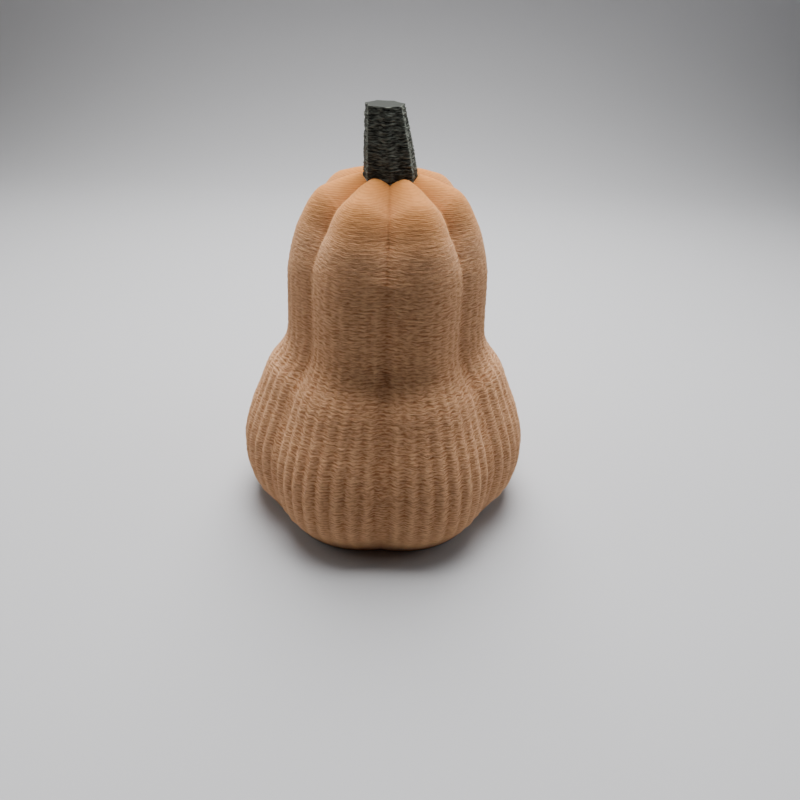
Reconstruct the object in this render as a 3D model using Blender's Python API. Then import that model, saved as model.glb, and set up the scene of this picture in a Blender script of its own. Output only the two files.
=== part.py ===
"""A printed ornament in the shape of a butternut squash: a ribbed body with seven lobes, and a leaning stem.

Run it with: blender --background --python part.py
Metres, +Z up. The origin is the centre of the flat foot, and a groove between two lobes faces -Y.
"""

import math

import bmesh
import bpy
import numpy as np
from mathutils import Vector

MM = 0.001
NAME = "butternut_squash_ornament"

# Gap that separates the two prints wherever they face each other
GAP = 0.3 * MM

# Body: radius and height of the lobes' crests, from the flat foot up to the crown
CROWN_HEIGHT = 119.9 * MM
OUTLINE = (
    (46.2 * MM, 0.0),
    (48.4 * MM, 3.5 * MM),
    (51.1 * MM, 8.5 * MM),
    (52.6 * MM, 17.0 * MM),
    (52.2 * MM, 27.0 * MM),
    (49.6 * MM, 36.5 * MM),
    (45.7 * MM, 46.0 * MM),
    (41.9 * MM, 55.0 * MM),
    (37.1 * MM, 61.5 * MM),
    (34.7 * MM, 67.0 * MM),
    (34.0 * MM, 76.0 * MM),
    (33.2 * MM, 90.0 * MM),
    (30.6 * MM, 101.0 * MM),
    (28.0 * MM, 107.0 * MM),
    (25.0 * MM, 112.2 * MM),
    (21.8 * MM, 115.4 * MM),
    (17.5 * MM, 117.1 * MM),
    (13.0 * MM, 118.6 * MM),
    (8.0 * MM, CROWN_HEIGHT),
)

# Lobes: height, and how deep the grooves between them are there
LOBES = 7
GROOVES = (
    (0.0, 2.3 * MM),
    (6.0 * MM, 3.3 * MM),
    (14.0 * MM, 4.0 * MM),
    (30.0 * MM, 3.2 * MM),
    (75.0 * MM, 3.3 * MM),
    (95.0 * MM, 2.6 * MM),
    (107.0 * MM, 4.6 * MM),
    (116.0 * MM, 4.6 * MM),
    (CROWN_HEIGHT, 1.5 * MM),
)

# Ribs: fine upright ridges, by height and depth, deepest on the bulb and gone at the foot and the crown
RIBS_PER_LOBE = 9
SIDES_PER_RIB = 4
RIBS = (
    (0.0, 0.0),
    (6.0 * MM, 0.4 * MM),
    (12.0 * MM, 0.9 * MM),
    (22.0 * MM, 1.1 * MM),
    (34.0 * MM, 0.95 * MM),
    (46.0 * MM, 0.65 * MM),
    (62.0 * MM, 0.35 * MM),
    (88.0 * MM, 0.2 * MM),
    (104.0 * MM, 0.0),
)

# Stem: a fluted stalk with a ridge over each groove of the body, on a round plug that fills the socket
PLUG_RADIUS = 8.9 * MM
PLUG_HEIGHT = 7.0 * MM
SOCKET_FLOOR = 110.0 * MM
STALK_BASE_RADIUS = 8.8 * MM
STALK_TOP_RADIUS = 6.0 * MM
STALK_TOP_HEIGHT = 138.4 * MM
STALK_LEAN = -2.0 * MM
STALK_RINGS = 6
STALK_FLARE = 1.2
FLUTE_DEPTH = 1.2 * MM
SIDES_PER_FLUTE = 6

# Edges that turn more than this stay crisp
SHARP_ANGLE = math.radians(20)

# Finishes: linear colour and roughness of the two plastics
BODY_COLOUR = (0.62, 0.30, 0.14, 1.0)
STEM_COLOUR = (0.035, 0.045, 0.040, 1.0)
PRINT_ROUGHNESS = 0.75


def clear_scene():
    """Remove every object that the open file holds."""
    for obj in list(bpy.data.objects):
        bpy.data.objects.remove(obj)


def new_collection(name):
    """Add a collection to the scene."""
    collection = bpy.data.collections.new(name)
    bpy.context.scene.collection.children.link(collection)
    return collection


def new_material(name, colour):
    """Matt plastic in one colour."""
    material = bpy.data.materials.new(name)
    material.use_nodes = True
    shader = material.node_tree.nodes["Principled BSDF"]
    shader.inputs["Base Color"].default_value = colour
    shader.inputs["Roughness"].default_value = PRINT_ROUGHNESS
    shader.inputs["Metallic"].default_value = 0.0
    return material


def turned_mesh(outline, sides):
    """A closed turned bmesh from (radius, height) points that run from the bottom to the top."""
    bm = bmesh.new()
    path = [bm.verts.new((0.0, 0.0, outline[0][1]))]
    path += [bm.verts.new((0.0, -radius, height)) for radius, height in outline]
    path += [bm.verts.new((0.0, 0.0, outline[-1][1]))]
    edges = [bm.edges.new(pair) for pair in zip(path, path[1:])]
    bmesh.ops.spin(
        bm,
        geom=path + edges,
        cent=(0.0, 0.0, 0.0),
        axis=(0.0, 0.0, 1.0),
        angle=math.tau,
        steps=sides,
        use_merge=True,
    )
    bmesh.ops.remove_doubles(bm, verts=bm.verts, dist=0.001 * MM)
    bmesh.ops.recalc_face_normals(bm, faces=bm.faces)
    bm.normal_update()
    return bm


def depth_at(height, steps):
    """Depth at a height, from steps of (height, depth)."""
    return float(np.interp(height, *zip(*steps)))


def shape_body(bm):
    """Press the grooves between the lobes into the turned body, and raise the ribs."""
    for vert in bm.verts:
        if vert.co.xy.length < GAP:
            continue
        angle = math.atan2(vert.co.x, -vert.co.y)
        height = vert.co.z
        groove = (1.0 - abs(math.sin(LOBES / 2 * angle))) * depth_at(height, GROOVES)
        rib = 0.5 * math.cos(LOBES * RIBS_PER_LOBE * angle) * depth_at(height, RIBS)
        outward = vert.normal.copy()
        if height < GAP:
            outward = Vector((vert.co.x, vert.co.y, 0.0)).normalized()
        vert.co += outward * (rib - groove)


def shape_stem(bm):
    """Press the flutes into the turned stalk and lean it, with the plug left round and upright."""
    for vert in bm.verts:
        rise = (vert.co.z - CROWN_HEIGHT) / (STALK_TOP_HEIGHT - CROWN_HEIGHT)
        angle = math.atan2(vert.co.x, -vert.co.y)
        radius = vert.co.xy.length
        if vert.co.z > SOCKET_FLOOR + PLUG_HEIGHT + GAP and radius > GAP:
            flute = FLUTE_DEPTH * radius / STALK_BASE_RADIUS * abs(math.sin(LOBES / 2 * angle))
            vert.co.xy *= (radius - flute) / radius
        vert.co.x += STALK_LEAN * max(rise, 0.0)


def finish_object(name, bm, material, collection):
    """Turn a bmesh into a smooth shaded object in a collection."""
    mesh = bpy.data.meshes.new(name)
    bm.to_mesh(mesh)
    bm.free()
    mesh.materials.append(material)
    mesh.shade_smooth()
    mesh.set_sharp_from_angle(angle=SHARP_ANGLE)
    obj = bpy.data.objects.new(name, mesh)
    collection.objects.link(obj)
    return obj


def cut_with(obj, cutter):
    """Cut a shape away from an object."""
    modifier = obj.modifiers.new(cutter.name, "BOOLEAN")
    modifier.object = cutter
    modifier.operation = "DIFFERENCE"
    modifier.solver = "EXACT"


def make_socket_cutter(collection):
    """The round blind socket in the crown, a gap wider than the stem's plug."""
    radius = PLUG_RADIUS + GAP
    top = CROWN_HEIGHT + PLUG_HEIGHT
    bm = bmesh.new()
    bmesh.ops.create_cone(
        bm,
        cap_ends=True,
        segments=LOBES * SIDES_PER_FLUTE,
        radius1=radius,
        radius2=radius,
        depth=top - SOCKET_FLOOR,
    )
    bmesh.ops.translate(bm, verts=bm.verts, vec=(0.0, 0.0, (top + SOCKET_FLOOR) / 2))
    mesh = bpy.data.meshes.new("socket_cutter")
    bm.to_mesh(mesh)
    bm.free()
    cutter = bpy.data.objects.new("socket_cutter", mesh)
    cutter.hide_render = True
    cutter.display_type = "WIRE"
    collection.objects.link(cutter)
    return cutter


def make_body(collection, cutters):
    """The lobed, ribbed body, one print with a flat foot and a socket in its crown."""
    bm = turned_mesh(OUTLINE, LOBES * RIBS_PER_LOBE * SIDES_PER_RIB)
    shape_body(bm)
    body = finish_object("body", bm, new_material("apricot_plastic", BODY_COLOUR), collection)
    cut_with(body, make_socket_cutter(cutters))
    return body


def make_stem(collection):
    """The stalk and its plug, one print that stands in the body's socket."""
    bottom = SOCKET_FLOOR + GAP
    shoulder = SOCKET_FLOOR + PLUG_HEIGHT
    outline = [(PLUG_RADIUS, bottom), (PLUG_RADIUS, shoulder)]
    for ring in range(1, STALK_RINGS + 1):
        share = ring / STALK_RINGS
        radius = STALK_BASE_RADIUS + (STALK_TOP_RADIUS - STALK_BASE_RADIUS) * share**STALK_FLARE
        outline.append((radius, shoulder + (STALK_TOP_HEIGHT - shoulder) * share))
    bm = turned_mesh(outline, LOBES * SIDES_PER_FLUTE)
    shape_stem(bm)
    return finish_object("stem", bm, new_material("dark_green_plastic", STEM_COLOUR), collection)


def main():
    """Build both prints."""
    clear_scene()
    prints = new_collection(NAME)
    cutters = new_collection("cutters")
    make_body(prints, cutters)
    make_stem(prints)


main()
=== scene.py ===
"""Looks of a printed squash ornament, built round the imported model: a fuzzy ribbed body and a fluted stem.

Metres, +Z up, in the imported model's own frame: the origin is the centre of the flat foot.
"""

import logging
import math
from dataclasses import dataclass
from enum import Enum

import bmesh
import bpy
import numpy as np
from mathutils import Matrix, Vector, noise


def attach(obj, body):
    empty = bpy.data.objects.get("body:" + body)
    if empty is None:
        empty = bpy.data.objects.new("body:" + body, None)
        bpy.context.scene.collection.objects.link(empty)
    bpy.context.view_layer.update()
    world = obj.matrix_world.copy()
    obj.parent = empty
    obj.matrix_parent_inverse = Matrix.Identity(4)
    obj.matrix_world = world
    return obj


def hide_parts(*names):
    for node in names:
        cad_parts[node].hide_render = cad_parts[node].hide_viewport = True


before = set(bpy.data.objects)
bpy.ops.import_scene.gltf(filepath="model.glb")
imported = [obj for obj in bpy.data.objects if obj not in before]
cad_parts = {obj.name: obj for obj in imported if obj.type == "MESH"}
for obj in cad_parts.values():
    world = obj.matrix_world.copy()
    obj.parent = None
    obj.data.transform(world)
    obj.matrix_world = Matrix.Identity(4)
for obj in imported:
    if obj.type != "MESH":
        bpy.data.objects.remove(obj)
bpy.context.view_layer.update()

MM = 0.001
BODY_NAME = "root"

# Points nearer than this are one
TOUCH = 0.001 * MM

# The object's seven lobes, and the ribs that each carries
LOBES = 7
RIBS_PER_LOBE = 9

# Height of the crown, where the stem leaves the body
CROWN_HEIGHT = 119.9 * MM

# Pairs of a height and a value there
Steps = tuple[tuple[float, float], ...]

log = logging.getLogger("squash_ornament")


def linear_colour(code: str) -> tuple[float, float, float, float]:
    """Turn an sRGB hex colour into the linear one that shaders use.

    Args:
        code: Six hex digits, such as "c98f63".

    Returns:
        Linear red, green, blue and an alpha of 1.
    """
    channels = [int(code[i : i + 2], 16) / 255 for i in (0, 2, 4)]
    linear = [c / 12.92 if c <= 0.04045 else ((c + 0.055) / 1.055) ** 2.4 for c in channels]
    return (*linear, 1.0)


def add_node(
    tree: bpy.types.NodeTree,
    kind: str,
    inputs: dict[str | int, object] | None = None,
    **settings: object,
) -> bpy.types.Node:
    """Add a node to a material, with its settings and links.

    Args:
        tree: The node tree that gets the node.
        kind: Blender's name for the node type.
        inputs: For each input, by name or number, a value or another node's output to link to it.
        **settings: Properties of the node, such as operation or data_type.

    Returns:
        The new node.
    """
    node = tree.nodes.new(kind)
    for name, value in settings.items():
        setattr(node, name, value)
    for key, value in (inputs or {}).items():
        if isinstance(value, bpy.types.NodeSocket):
            tree.links.new(value, node.inputs[key])
        else:
            node.inputs[key].default_value = value
    return node


def smooth_outline(points: tuple[tuple[float, float], ...], step: float) -> list[tuple[float, float]]:
    """Sample a smooth curve through the points of an outline.

    Args:
        points: Radius and height of each point, from the bottom up.
        step: Rough distance between samples.

    Returns:
        Radius and height of each sample.
    """
    ends = [points[0], *points, points[-1]]
    curve: list[tuple[float, float]] = []
    for before, start, end, after in zip(ends, ends[1:], ends[2:], ends[3:]):
        corners = np.array((before, start, end, after))
        samples = max(1, round(math.dist(start, end) / step))
        for sample in range(samples):
            t = sample / samples
            weights = (
                -t + 2 * t**2 - t**3,
                2 - 5 * t**2 + 3 * t**3,
                t + 4 * t**2 - 3 * t**3,
                -(t**2) + t**3,
            )
            radius, height = 0.5 * np.dot(weights, corners)
            curve.append((float(radius), float(height)))
    return [*curve, points[-1]]


class Zone(Enum):
    """What a ring of a turned shape belongs to: a flat end, the fuzzy skin or a plain round fit."""

    FLAT = 0
    SKIN = 1
    PLAIN = 2


@dataclass(frozen=True)
class Ring:
    """One ring of a turned shape, with the direction in which its skin moves."""

    radius: float
    height: float
    zone: Zone
    out: tuple[float, float] = (1.0, 0.0)


def ring_directions(outline: list[tuple[float, float]]) -> list[tuple[float, float]]:
    """Find the outward direction at each point of an outline that runs upwards.

    Args:
        outline: Radius and height of each point.

    Returns:
        Outward direction of each point, in radius and height.
    """
    slopes = np.gradient(np.array(outline), axis=0)
    outward = np.stack((slopes[:, 1], -slopes[:, 0]), axis=1)
    outward /= np.linalg.norm(outward, axis=1)[:, None]
    return [(float(a), float(b)) for a, b in outward]


@dataclass(frozen=True)
class TurnedShape:
    """A closed turned mesh whose vertices keep the zone and outward direction of their ring."""

    rings: list[Ring]
    sides: int

    def spin(self) -> bmesh.types.BMesh:
        """Spin the rings' outline round the upright axis.

        Returns:
            The closed shape.
        """
        bm = bmesh.new()
        layers = [bm.verts.layers.float.new(name) for name in ("zone", "out_radius", "out_height")]
        first, last = self.rings[0], self.rings[-1]
        ends = (Ring(0.0, first.height, Zone.PLAIN), Ring(0.0, last.height, Zone.PLAIN))
        path = []
        for ring in (ends[0], *self.rings, ends[1]):
            vert = bm.verts.new((0.0, -ring.radius, ring.height))
            for layer, value in zip(layers, (ring.zone.value, *ring.out)):
                vert[layer] = value
            path.append(vert)
        edges = [bm.edges.new(pair) for pair in zip(path, path[1:])]
        bmesh.ops.spin(
            bm,
            geom=path + edges,
            cent=(0.0, 0.0, 0.0),
            axis=(0.0, 0.0, 1.0),
            angle=math.tau,
            steps=self.sides,
            use_merge=True,
        )
        poles = [v for v in bm.verts if v.co.xy.length < TOUCH]
        bmesh.ops.remove_doubles(bm, verts=poles, dist=TOUCH)
        bmesh.ops.recalc_face_normals(bm, faces=bm.faces)
        return bm


@dataclass(frozen=True)
class Strands:
    """The uneven strands that a printer's jittered wall leaves, which follow the layers round the object."""

    length: float
    height: float
    depth: float
    seed: float
    # The broad sway of the rows: its scale against a strand's, and how far it carries them
    sway_scale: tuple[float, float, float] = (0.4, 0.4, 0.25)
    sway: float = 0.8
    # The finer strands between the long ones: how much finer, and how strong
    fine_scale: tuple[float, float, float] = (2.0, 2.0, 1.7)
    fine: float = 0.5
    # How the noise fills the depth, and where it is cut off
    gain: float = 1.6
    limit: float = 1.2

    def relief(self, co: np.ndarray) -> np.ndarray:
        """Work out how far the strands raise or sink the skin.

        Args:
            co: One row of x, y and z for each vertex.

        Returns:
            The raise of each vertex, about -depth to depth.
        """
        wave = np.empty(len(co))
        scale = np.array((1 / self.length, 1 / self.length, 1 / self.height))
        broad = co * scale * self.sway_scale + self.seed
        place = co * scale + self.seed
        finer = place * self.fine_scale
        for i, (low, long, short) in enumerate(zip(broad, place, finer)):
            sway = self.sway * noise.noise(Vector(low))
            wave[i] = noise.noise(Vector((long[0], long[1], long[2] + sway)))
            wave[i] += self.fine * noise.noise(Vector((short[0], short[1], short[2] + sway)))
        return np.clip(wave * self.gain, -self.limit, self.limit) * self.depth


def read_layers(mesh: bpy.types.Mesh) -> tuple[np.ndarray, np.ndarray, np.ndarray]:
    """Read a turned mesh's places, zones and outward directions.

    Args:
        mesh: A mesh made by TurnedShape.

    Returns:
        Places as rows of x, y and z; zone numbers; directions as rows of radius and height.
    """
    count = len(mesh.vertices)
    co = np.empty(count * 3)
    mesh.vertices.foreach_get("co", co)
    values = {}
    for name in ("zone", "out_radius", "out_height"):
        values[name] = np.empty(count)
        mesh.attributes[name].data.foreach_get("value", values[name])
    out = np.stack((values["out_radius"], values["out_height"]), axis=1)
    return co.reshape(-1, 3), values["zone"], out


def at_height(height: np.ndarray, steps: Steps) -> np.ndarray:
    """Read a value that changes from step to step with height.

    Args:
        height: Height of each vertex.
        steps: Height and value of each step, from the bottom up.

    Returns:
        The value at each vertex.
    """
    return np.interp(height, *zip(*steps))


def store_skin(mesh: bpy.types.Mesh, relief: np.ndarray, fuzz: np.ndarray, tone: np.ndarray) -> None:
    """Keep what the material needs to know about the skin on the mesh.

    Args:
        mesh: The finished mesh.
        relief: 0 in the deepest grooves to 1 on the highest ribs, for each vertex; the material paints shade
            where it is low.
        fuzz: 0 where the wall is smooth to 1 where it is fully fuzzy, for each vertex.
        tone: 0 for the wall's colour to 1 for that of the smooth upper faces, for each vertex.
    """
    for name in ("zone", "out_radius", "out_height"):
        mesh.attributes.remove(mesh.attributes[name])
    for name, values in (("relief", relief), ("fuzz", fuzz), ("tone", tone)):
        attribute = mesh.attributes.new(name, "FLOAT", "POINT")
        attribute.data.foreach_set("value", np.clip(values, 0, 1).astype(np.float32))


@dataclass(frozen=True)
class PrintedPla:
    """Matt PLA, laid down in layers with a jittered outer wall.

    The rough strands scatter light, so it looks dull and soft like felt, with level rows from the layers.
    Its colour carries painted shade in the crevices between the strands and ribs, and painted light on strand
    tops and rib crests.
    """

    name: str
    wall: str
    upper: str
    # Painted shade: the colour of the crevices between strands, in rib valleys and on groove floors
    crevice_shade: str
    roughness: float
    shine: float
    fuzz_sheen: float
    fuzz_tint: str
    translucence: float
    glow: tuple[float, float, float]
    strand_length: float
    strand_height: float
    strand_relief: float
    row_height: float
    dark_below: float
    light_above: float
    # How much painted light an open strand and a rib's crest add, from the crevice's painted shade towards
    # the wall's colour
    strand_light: float
    rib_light: float = 0.6
    # The rows sway up and down by this much, in broad patches of this length and height
    sway_rise: float = 1.0 * MM
    sway_length: float = 3.5 * MM
    sway_height: float = 2.5 * MM
    # Noise between these values runs from a crevice in full painted shade to a strand
    dash_range: tuple[float, float] = (0.30, 0.70)
    row_share: float = 0.22
    # Layers are about 0.25 mm thick, too thin to show, so their lines are drawn 0.5 mm apart
    line_pitch: float = 0.5 * MM
    line_relief: float = 0.12
    sheen_roughness: float = 0.5
    pla_ior: float = 1.46
    glow_depth: float = 1.0 * MM

    def build(self) -> bpy.types.Material:
        """Make the material's nodes.

        Returns:
            The material.
        """
        material = bpy.data.materials.new(self.name)
        material.use_nodes = True
        tree = material.node_tree
        shader = tree.nodes["Principled BSDF"]
        place = add_node(tree, "ShaderNodeTexCoord").outputs["Object"]
        relief, fuzz, tone = (
            add_node(tree, "ShaderNodeAttribute", attribute_name=name).outputs["Fac"]
            for name in ("relief", "fuzz", "tone")
        )
        strands = self.strand_pattern(tree, place)
        lines = self.layer_lines(tree, place)
        # Where the wall was printed without much jitter, only the layer lines are left
        raised = add_node(
            tree, "ShaderNodeMix", {0: fuzz, 2: lines, 3: strands}, data_type="FLOAT"
        ).outputs[0]
        shader.inputs["Roughness"].default_value = self.roughness
        shader.inputs["IOR"].default_value = self.pla_ior
        shader.inputs["Specular IOR Level"].default_value = self.shine
        shader.inputs["Sheen Weight"].default_value = self.fuzz_sheen
        shader.inputs["Sheen Roughness"].default_value = self.sheen_roughness
        shader.inputs["Sheen Tint"].default_value = linear_colour(self.fuzz_tint)
        shader.inputs["Subsurface Weight"].default_value = self.translucence
        shader.inputs["Subsurface Radius"].default_value = self.glow
        shader.inputs["Subsurface Scale"].default_value = self.glow_depth
        tree.links.new(self.colour(tree, raised, relief, tone), shader.inputs["Base Color"])
        bump = add_node(
            tree, "ShaderNodeBump", {"Height": raised, "Strength": 1.0, "Distance": self.strand_relief}
        )
        tree.links.new(bump.outputs["Normal"], shader.inputs["Normal"])
        return material

    def colour(
        self,
        tree: bpy.types.NodeTree,
        raised: bpy.types.NodeSocket,
        relief: bpy.types.NodeSocket,
        tone: bpy.types.NodeSocket,
    ) -> bpy.types.NodeSocket:
        """Paint shade into the crevices between strands, in rib valleys and on groove floors, paint light
        onto strand tops and rib crests, and warm the upper faces.

        Args:
            tree: The material's node tree.
            raised: Height of the strands, 0 to 1.
            relief: Height of the ribs, 0 to 1.
            tone: 0 for the wall's colour to 1 for the upper faces'.

        Returns:
            The colour.
        """
        wall = add_node(
            tree,
            "ShaderNodeMix",
            {0: tone, 6: linear_colour(self.wall), 7: linear_colour(self.upper)},
            data_type="RGBA",
        ).outputs[2]
        open_strand = add_node(
            tree,
            "ShaderNodeMapRange",
            {
                "Value": raised,
                "From Min": self.dark_below,
                "From Max": self.light_above,
                "To Min": 0.0,
                "To Max": self.strand_light,
            },
        ).outputs["Result"]
        lit = add_node(
            tree,
            "ShaderNodeMath",
            {0: relief, 1: self.rib_light, 2: open_strand},
            operation="MULTIPLY_ADD",
            use_clamp=True,
        ).outputs[0]
        # Painted shade and light: the crevice colour where lit is low, the wall's colour where strand tops
        # and rib crests are painted light
        return add_node(
            tree,
            "ShaderNodeMix",
            {0: lit, 6: linear_colour(self.crevice_shade), 7: wall},
            data_type="RGBA",
        ).outputs[2]

    def strand_pattern(
        self, tree: bpy.types.NodeTree, place: bpy.types.NodeSocket
    ) -> bpy.types.NodeSocket:
        """Draw the strands: broken, slightly wavy level dashes that follow the rows.

        Args:
            tree: The material's node tree.
            place: Object coordinates.

        Returns:
            0 in the crevices to 1 on the strands.
        """
        sway = self.stretched_noise(tree, place, self.sway_length, self.sway_height, detail=1.0)
        rise = add_node(tree, "ShaderNodeMath", {0: sway, 1: self.sway_rise}, operation="MULTIPLY").outputs[0]
        shift = add_node(tree, "ShaderNodeCombineXYZ", {"Z": rise}).outputs["Vector"]
        swayed = add_node(
            tree, "ShaderNodeVectorMath", {0: place, 1: shift}, operation="ADD"
        ).outputs["Vector"]
        strand = self.stretched_noise(tree, swayed, self.strand_length, self.strand_height, detail=2.0)
        rows = self.wave(tree, swayed, self.row_height)
        crevice_shade, open_strand = self.dash_range
        dashes = add_node(
            tree, "ShaderNodeMapRange", {"Value": strand, "From Min": crevice_shade, "From Max": open_strand}
        ).outputs["Result"]
        return add_node(
            tree, "ShaderNodeMix", {0: self.row_share, 2: dashes, 3: rows}, data_type="FLOAT"
        ).outputs[0]

    def layer_lines(self, tree: bpy.types.NodeTree, place: bpy.types.NodeSocket) -> bpy.types.NodeSocket:
        """Draw the level lines of the layers, faint beside the strands.

        Args:
            tree: The material's node tree.
            place: Object coordinates.

        Returns:
            0 to 1, near the height of an open strand.
        """
        lines = self.wave(tree, place, self.line_pitch)
        return add_node(
            tree, "ShaderNodeMath", {0: lines, 1: self.line_relief, 2: 0.5}, operation="MULTIPLY_ADD"
        ).outputs[0]

    def wave(
        self, tree: bpy.types.NodeTree, place: bpy.types.NodeSocket, pitch: float
    ) -> bpy.types.NodeSocket:
        """Make level waves, 0 to 1.

        Args:
            tree: The material's node tree.
            place: Coordinates whose height is used.
            pitch: Height from wave to wave.

        Returns:
            The waves.
        """
        height = add_node(tree, "ShaderNodeSeparateXYZ", {"Vector": place}).outputs["Z"]
        turns = add_node(tree, "ShaderNodeMath", {0: height, 1: math.tau / pitch}, operation="MULTIPLY")
        sine = add_node(tree, "ShaderNodeMath", {0: turns.outputs[0]}, operation="SINE")
        return add_node(
            tree, "ShaderNodeMath", {0: sine.outputs[0], 1: 0.5, 2: 0.5}, operation="MULTIPLY_ADD"
        ).outputs[0]

    def stretched_noise(
        self,
        tree: bpy.types.NodeTree,
        place: bpy.types.NodeSocket,
        length: float,
        height: float,
        detail: float,
    ) -> bpy.types.NodeSocket:
        """Make noise whose spots are longer along the layers than across them.

        Args:
            tree: The material's node tree.
            place: Coordinates for the noise.
            length: Rough length of a spot.
            height: Rough height of a spot.
            detail: How many finer copies are added.

        Returns:
            The noise, 0 to 1.
        """
        scaled = add_node(
            tree, "ShaderNodeMapping", {"Vector": place, "Scale": (1 / length, 1 / length, 1 / height)}
        )
        return add_node(
            tree,
            "ShaderNodeTexNoise",
            {"Vector": scaled.outputs["Vector"], "Scale": 1.0, "Detail": detail},
        ).outputs["Fac"]


@dataclass(frozen=True)
class Backdrop:
    """Matt card in one plain pale colour."""

    name: str
    colour: str
    roughness: float
    shine: float = 0.2

    def build(self) -> bpy.types.Material:
        """Make the material's nodes.

        Returns:
            The material.
        """
        material = bpy.data.materials.new(self.name)
        material.use_nodes = True
        shader = material.node_tree.nodes["Principled BSDF"]
        shader.inputs["Base Color"].default_value = linear_colour(self.colour)
        shader.inputs["Roughness"].default_value = self.roughness
        shader.inputs["Specular IOR Level"].default_value = self.shine
        return material


def finish_piece(bm: bmesh.types.BMesh, name: str) -> bpy.types.Object:
    """Turn a bmesh into a smooth shaded object in the scene.

    Args:
        bm: The shape, which is freed.
        name: The piece's name.

    Returns:
        The new object.
    """
    mesh = bpy.data.meshes.new(name)
    bm.to_mesh(mesh)
    bm.free()
    mesh.shade_smooth()
    piece = bpy.data.objects.new(name, mesh)
    bpy.context.scene.collection.objects.link(piece)
    return piece


@dataclass
class SquashBody:
    """The body: seven lobes with fine ribs and a fuzzy skin, a flat foot and a socket for the stem."""

    finish: PrintedPla
    outline: tuple[tuple[float, float], ...] = (
        (46.2 * MM, 0.0),
        (48.4 * MM, 3.5 * MM),
        (51.1 * MM, 8.5 * MM),
        (52.6 * MM, 17.0 * MM),
        (52.2 * MM, 27.0 * MM),
        (49.6 * MM, 36.5 * MM),
        (45.7 * MM, 46.0 * MM),
        (41.9 * MM, 55.0 * MM),
        (37.1 * MM, 61.5 * MM),
        (34.7 * MM, 67.0 * MM),
        (34.0 * MM, 76.0 * MM),
        (33.2 * MM, 90.0 * MM),
        (30.6 * MM, 101.0 * MM),
        (28.0 * MM, 107.0 * MM),
        (25.0 * MM, 112.2 * MM),
        (21.8 * MM, 115.4 * MM),
        (17.5 * MM, 117.1 * MM),
        (13.0 * MM, 118.6 * MM),
        (9.2 * MM, 119.5 * MM),
    )
    ring_step: float = 0.42 * MM
    sides_per_rib: int = 4
    socket_radius: float = 9.2 * MM
    socket_middle: float = 115.0 * MM
    socket_floor: float = 110.0 * MM
    # Rings inside the foot's rim, as shares of its radius
    foot_rings: tuple[float, ...] = (0.3, 0.6, 0.85)
    grooves: Steps = (
        (0.0, 2.3 * MM),
        (6.0 * MM, 3.3 * MM),
        (14.0 * MM, 4.0 * MM),
        (30.0 * MM, 3.2 * MM),
        (75.0 * MM, 3.3 * MM),
        (95.0 * MM, 2.6 * MM),
        (107.0 * MM, 4.6 * MM),
        (116.0 * MM, 4.6 * MM),
        (CROWN_HEIGHT, 1.5 * MM),
    )
    ribs: Steps = (
        (0.0, 0.0),
        (6.0 * MM, 0.4 * MM),
        (12.0 * MM, 0.9 * MM),
        (22.0 * MM, 1.1 * MM),
        (34.0 * MM, 0.95 * MM),
        (46.0 * MM, 0.65 * MM),
        (62.0 * MM, 0.35 * MM),
        (88.0 * MM, 0.2 * MM),
        (104.0 * MM, 0.0),
    )
    fuzz: Steps = (
        (0.0, 0.0),
        (6.0 * MM, 0.3),
        (18.0 * MM, 1.0),
        (86.0 * MM, 1.0),
        (102.0 * MM, 0.6),
        (112.0 * MM, 0.3),
        (118.0 * MM, 0.15),
    )
    tone: Steps = ((101.0 * MM, 0.0), (118.0 * MM, 1.0))
    strands: Strands = Strands(length=2.4 * MM, height=0.7 * MM, depth=0.10 * MM, seed=11.0)
    # How far the skin is sunk, so that no strand stands out beyond the plain shape
    sink: float = 0.3 * MM
    # How light the skin's colour is: its middle tone, the painted light and shade that the strands and ribs
    # add, and the painted shade on groove floors
    mid_tone: float = 0.57
    strand_light_and_shade: float = 0.05
    rib_light_and_shade: float = 0.6
    groove_shade: float = 0.4
    groove_floor: float = 0.25

    def rings(self) -> list[Ring]:
        """List the rings from the middle of the foot, up the skin and down into the socket.

        Returns:
            The rings, in order.
        """
        curve = smooth_outline(self.outline, self.ring_step)
        foot = [
            Ring(self.outline[0][0] * share, 0.0, Zone.FLAT, (share, 0.0))
            for share in self.foot_rings
        ]
        skin = [
            Ring(radius, height, Zone.SKIN, out)
            for (radius, height), out in zip(curve, ring_directions(curve))
        ]
        skin[0] = Ring(self.outline[0][0], 0.0, Zone.FLAT, (1.0, 0.0))
        socket = [
            Ring(self.socket_radius, height, Zone.PLAIN)
            for height in (self.socket_middle, self.socket_floor)
        ]
        return [*foot, *skin, *socket]

    def shape(self, mesh: bpy.types.Mesh) -> None:
        """Press in the grooves and raise the ribs and strands.

        Args:
            mesh: The turned mesh of the body.
        """
        co, zone, out = read_layers(mesh)
        angle = np.arctan2(co[:, 0], -co[:, 1])
        height = co[:, 2]
        ridge = np.abs(np.sin(LOBES / 2 * angle))
        groove = (1 - ridge) * at_height(height, self.grooves)
        rib_depth = at_height(height, self.ribs)
        wave = 0.5 * np.cos(LOBES * RIBS_PER_LOBE * angle)
        skin = zone == Zone.SKIN.value
        plain = zone == Zone.PLAIN.value
        fuzz = np.where(skin, at_height(height, self.fuzz), 0.0)
        strand = self.strands.relief(co) * fuzz
        move = wave * rib_depth - groove + strand - self.sink
        move[plain] = 0.0
        round_out = np.stack((np.sin(angle), -np.cos(angle)), axis=1)
        co[:, :2] += round_out * (out[:, 0] * move)[:, None]
        co[:, 2] += out[:, 1] * move
        mesh.vertices.foreach_set("co", co.ravel())
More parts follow.
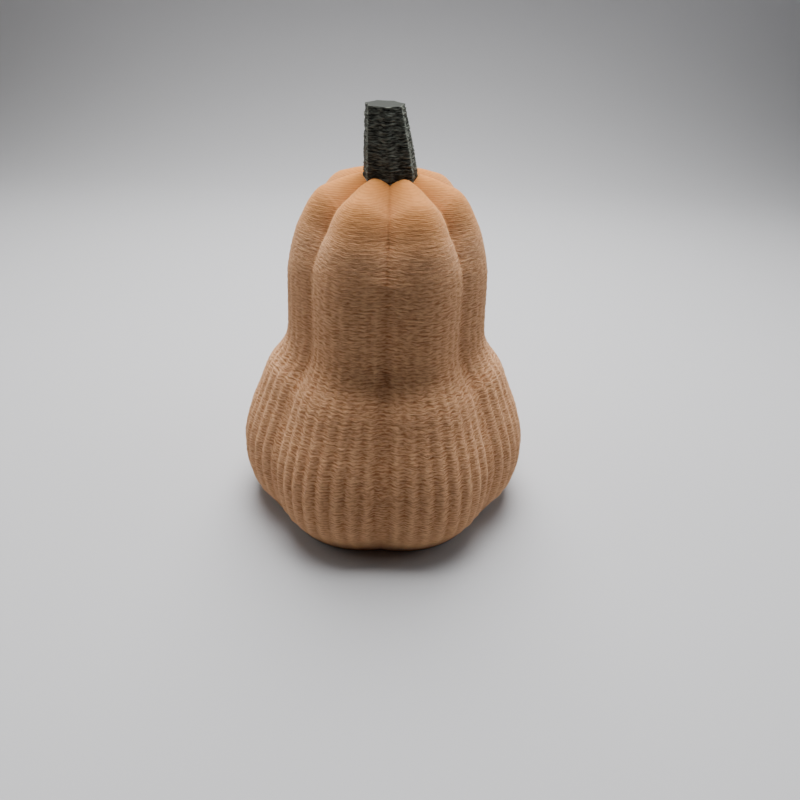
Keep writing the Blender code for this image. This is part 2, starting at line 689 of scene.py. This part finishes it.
        # Painted light and shade: strand tops and rib crests lighter; crevices, rib valleys and groove floors
        # darker
        relief = self.mid_tone + self.strand_light_and_shade * strand / self.strands.depth
        relief += self.rib_light_and_shade * wave * rib_depth / MM
        relief -= self.groove_shade * np.clip(1 - ridge / self.groove_floor, 0, 1) ** 2
        store_skin(mesh, relief, fuzz, at_height(height, self.tone))
        mesh.update()

    def build(self) -> bpy.types.Object:
        """Make the body and put it in the CAD body's place.

        Returns:
            The body.
        """
        sides = LOBES * RIBS_PER_LOBE * self.sides_per_rib
        piece = finish_piece(TurnedShape(self.rings(), sides).spin(), "squash_body")
        self.shape(piece.data)
        piece.data.materials.append(self.finish.build())
        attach(piece, BODY_NAME)
        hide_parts("body")
        return piece


@dataclass
class SquashStem:
    """The stem: a leaning, tapering stalk with seven ridges and a flat top, on a round plug."""

    finish: PrintedPla
    plug_radius: float = 8.9 * MM
    bottom: float = 110.3 * MM
    shoulder: float = 117.0 * MM
    base_radius: float = 8.8 * MM
    top_radius: float = 6.0 * MM
    top_height: float = 138.4 * MM
    lean: float = -2.0 * MM
    flare: float = 1.2
    flute_depth: float = 1.2 * MM
    sides_per_flute: int = 20
    ring_step: float = 0.16 * MM
    top_rings: int = 12
    strands: Strands = Strands(length=2.6 * MM, height=0.42 * MM, depth=0.22 * MM, seed=37.0)
    # How light the skin's colour is: its middle tone, and the painted light and shade that the strands add
    mid_tone: float = 0.3
    strand_light_and_shade: float = 0.4

    def rings(self) -> list[Ring]:
        """List the rings from the plug's bottom up to the middle of the flat top.

        Returns:
            The rings, in order.
        """
        rings = [
            Ring(self.plug_radius, self.bottom, Zone.PLAIN),
            Ring(self.plug_radius, self.shoulder, Zone.PLAIN),
        ]
        rise = self.top_height - self.shoulder
        count = round(rise / self.ring_step)
        for number in range(1, count + 1):
            share = number / count
            radius = self.base_radius + (self.top_radius - self.base_radius) * share**self.flare
            rings.append(Ring(radius, self.shoulder + rise * share, Zone.SKIN, (1.0, 0.0)))
        for number in range(self.top_rings - 1, 0, -1):
            share = number / self.top_rings
            rings.append(Ring(self.top_radius * share, self.top_height, Zone.FLAT, (share, 0.0)))
        return rings

    def shape(self, mesh: bpy.types.Mesh) -> None:
        """Press in the flutes, raise the strands and lean the stalk.

        Args:
            mesh: The turned mesh of the stem.
        """
        co, zone, _ = read_layers(mesh)
        angle = np.arctan2(co[:, 0], -co[:, 1])
        radius = np.hypot(co[:, 0], co[:, 1])
        fluted = zone != Zone.PLAIN.value
        flute = self.flute_depth / self.base_radius * radius * np.abs(np.sin(LOBES / 2 * angle))
        skin = zone == Zone.SKIN.value
        strand = np.where(skin, self.strands.relief(co), 0.0)
        move = np.where(fluted, strand - flute, 0.0)
        round_out = np.stack((np.sin(angle), -np.cos(angle)), axis=1)
        co[:, :2] += round_out * move[:, None]
        lean = (co[:, 2] - CROWN_HEIGHT) / (self.top_height - CROWN_HEIGHT)
        co[:, 0] += self.lean * np.maximum(lean, 0.0)
        mesh.vertices.foreach_set("co", co.ravel())
        # Painted light and shade: strand tops lighter, crevices between strands darker
        relief = self.mid_tone + self.strand_light_and_shade * strand / self.strands.depth
        store_skin(mesh, relief, np.where(skin, 1.0, 0.0), np.where(skin, 0.0, 1.0))
        mesh.update()

    def build(self) -> bpy.types.Object:
        """Make the stem and put it in the CAD stem's place.

        Returns:
            The stem.
        """
        sides = LOBES * self.sides_per_flute
        piece = finish_piece(TurnedShape(self.rings(), sides).spin(), "squash_stem")
        self.shape(piece.data)
        piece.data.materials.append(self.finish.build())
        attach(piece, BODY_NAME)
        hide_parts("stem")
        return piece


@dataclass(frozen=True)
class Softbox:
    """A square soft light behind a grid that narrows its beam."""

    name: str
    place: tuple[float, float, float]
    aim: tuple[float, float, float]
    size: float
    power: float
    beam_degrees: float
    colour: tuple[float, float, float]

    def build(self) -> bpy.types.Object:
        """Put the light in the scene.

        Returns:
            The light's object.
        """
        light = bpy.data.lights.new(self.name, "AREA")
        light.shape = "SQUARE"
        light.size = self.size
        light.energy = self.power
        light.spread = math.radians(self.beam_degrees)
        light.color = self.colour
        lamp = bpy.data.objects.new(self.name, light)
        bpy.context.scene.collection.objects.link(lamp)
        toward = Vector(self.aim) - Vector(self.place)
        turn = toward.to_track_quat("-Z", "Y").to_matrix().to_4x4()
        lamp.matrix_world = Matrix.Translation(self.place) @ turn
        lamp.visible_camera = False
        return lamp


@dataclass
class Studio:
    """The pale floor that sweeps up into a wall, the soft lights and the camera."""

    finish: Backdrop
    half_width: float = 2.0
    front: float = -2.0
    wall: float = 0.52
    wall_height: float = 1.2
    sweep: float = 0.16
    # The camera's place, focal length and angles are those of the picture
    camera_place: tuple[float, float, float] = (0.0058, -0.2043, 0.1737)
    focal_pixels: float = 650.5
    picture_pixels: float = 800.0
    sensor: float = 36.0
    pitch: float = math.radians(34.24)
    roll: float = math.radians(2.3)
    turn: float = math.radians(1.5)
    lights: tuple[Softbox, ...] = (
        Softbox(
            name="left_softbox",
            place=(-0.55, 0.06, 0.38),
            aim=(0.0, 0.0, 0.07),
            size=0.4,
            power=1.08,
            beam_degrees=180.0,
            colour=(1.0, 0.98, 0.96),
        ),
        Softbox(
            name="right_softbox",
            place=(0.55, 0.06, 0.38),
            aim=(0.0, 0.0, 0.07),
            size=0.4,
            power=1.08,
            beam_degrees=180.0,
            colour=(0.96, 0.98, 1.0),
        ),
        Softbox(
            name="overhead_softbox",
            place=(0.0, 0.265, 0.68),
            aim=(0.0, 0.03, 0.0),
            size=0.52,
            power=5.2,
            beam_degrees=93.0,
            colour=(1.0, 1.0, 1.0),
        ),
    )
    fill_colour: tuple[float, float, float, float] = (0.80, 0.86, 1.0, 1.0)
    fill_strength: float = 0.006

    def build_floor(self) -> bpy.types.Object:
        """Make the floor and the wall behind it as one sheet with a rounded sweep.

        Returns:
            The sheet.
        """
        bm = bmesh.new()
        corners = ((self.front, 0.0), (self.wall, 0.0), (self.wall, self.wall_height))
        path = [bm.verts.new((-self.half_width, y, z)) for y, z in corners]
        edges = [bm.edges.new(pair) for pair in zip(path, path[1:])]
        sheet = bmesh.ops.extrude_edge_only(bm, edges=edges)
        moved = [item for item in sheet["geom"] if isinstance(item, bmesh.types.BMVert)]
        bmesh.ops.translate(bm, verts=moved, vec=(2 * self.half_width, 0.0, 0.0))
        fold = [
            edge
            for edge in bm.edges
            if all(abs(v.co.y - self.wall) < TOUCH and v.co.z < TOUCH for v in edge.verts)
        ]
        bmesh.ops.bevel(
            bm, geom=fold, offset=self.sweep, segments=16, profile=0.5, affect="EDGES", material=-1
        )
        bmesh.ops.recalc_face_normals(bm, faces=bm.faces)
        floor = finish_piece(bm, "studio_floor")
        floor.data.materials.append(self.finish.build())
        return floor

    def build_camera(self) -> bpy.types.Object:
        """Set the camera where the picture was taken from, a little rolled.

        Returns:
            The camera.
        """
        data = bpy.data.cameras.new("camera")
        data.sensor_width = self.sensor
        data.lens = self.sensor * self.focal_pixels / self.picture_pixels
        data.clip_start = 0.01
        camera = bpy.data.objects.new("camera", data)
        bpy.context.scene.collection.objects.link(camera)
        heading = Matrix.Rotation(-self.turn, 3, "Z")
        tilt = Matrix.Rotation(math.pi / 2 - self.pitch, 3, "X")
        twist = Matrix.Rotation(self.roll, 3, "Z")
        place = Matrix.Translation(heading @ Vector(self.camera_place))
        camera.matrix_world = place @ (heading @ tilt @ twist).to_4x4()
        bpy.context.scene.camera = camera
        return camera

    def build_fill(self) -> None:
        """Light everything dimly from all round."""
        world = bpy.data.worlds.new("studio_fill")
        world.use_nodes = True
        background = world.node_tree.nodes["Background"]
        background.inputs["Color"].default_value = self.fill_colour
        background.inputs["Strength"].default_value = self.fill_strength
        bpy.context.scene.world = world

    def build(self) -> None:
        """Set up the whole studio."""
        self.build_floor()
        self.build_camera()
        self.build_fill()
        for softbox in self.lights:
            softbox.build()


# PLA, printed with a jittered wall: matt and slightly see-through, so it glows warm in the grooves; its
# darker, warmer crevice colour is painted shade
APRICOT_PLA = PrintedPla(
    name="apricot_pla_fuzzy_print",
    wall="d8a77e",
    upper="d28a46",
    # Painted shade: darker, warmer orange in the crevices, rib valleys and groove floors
    crevice_shade="7a421a",
    roughness=0.8,
    shine=0.08,
    fuzz_sheen=0.25,
    fuzz_tint="e6b98c",
    translucence=0.1,
    glow=(1.0, 0.45, 0.2),
    strand_length=1.8 * MM,
    strand_height=0.38 * MM,
    strand_relief=0.21 * MM,
    row_height=1.1 * MM,
    dark_below=0.18,
    light_above=0.70,
    strand_light=0.56,
)
# Dark PLA, printed the same way: painted shade makes it near black in the crevices, and painted light makes
# the strand tops grey-green, as fibres that catch the light
DARK_GREEN_PLA = PrintedPla(
    name="dark_green_pla_fuzzy_print",
    wall="80857a",
    upper="363a35",
    # Painted shade: near black in the crevices between the strands
    crevice_shade="030303",
    roughness=0.7,
    shine=0.12,
    fuzz_sheen=0.35,
    fuzz_tint="b4b9ae",
    translucence=0.0,
    glow=(1.0, 1.0, 1.0),
    strand_length=2.0 * MM,
    strand_height=0.36 * MM,
    strand_relief=0.36 * MM,
    row_height=0.9 * MM,
    dark_below=0.42,
    light_above=0.80,
    strand_light=0.55,
)
# Uncoated card, pressed from pulp: quite matt, with no highlight under soft light
PALE_CARD = Backdrop(name="pale_backdrop_card", colour="b0b0b2", roughness=0.9)


def main() -> None:
    """Build the studio, then the body and the stem, and report each piece."""
    logging.basicConfig(level=logging.INFO, format="%(message)s")
    Studio(PALE_CARD).build()
    for part in (SquashBody(APRICOT_PLA), SquashStem(DARK_GREEN_PLA)):
        piece = part.build()
        triangles = sum(len(face.vertices) - 2 for face in piece.data.polygons)
        log.info("%s: %d triangles", piece.name, triangles)


if __name__ == "__main__":
    main()
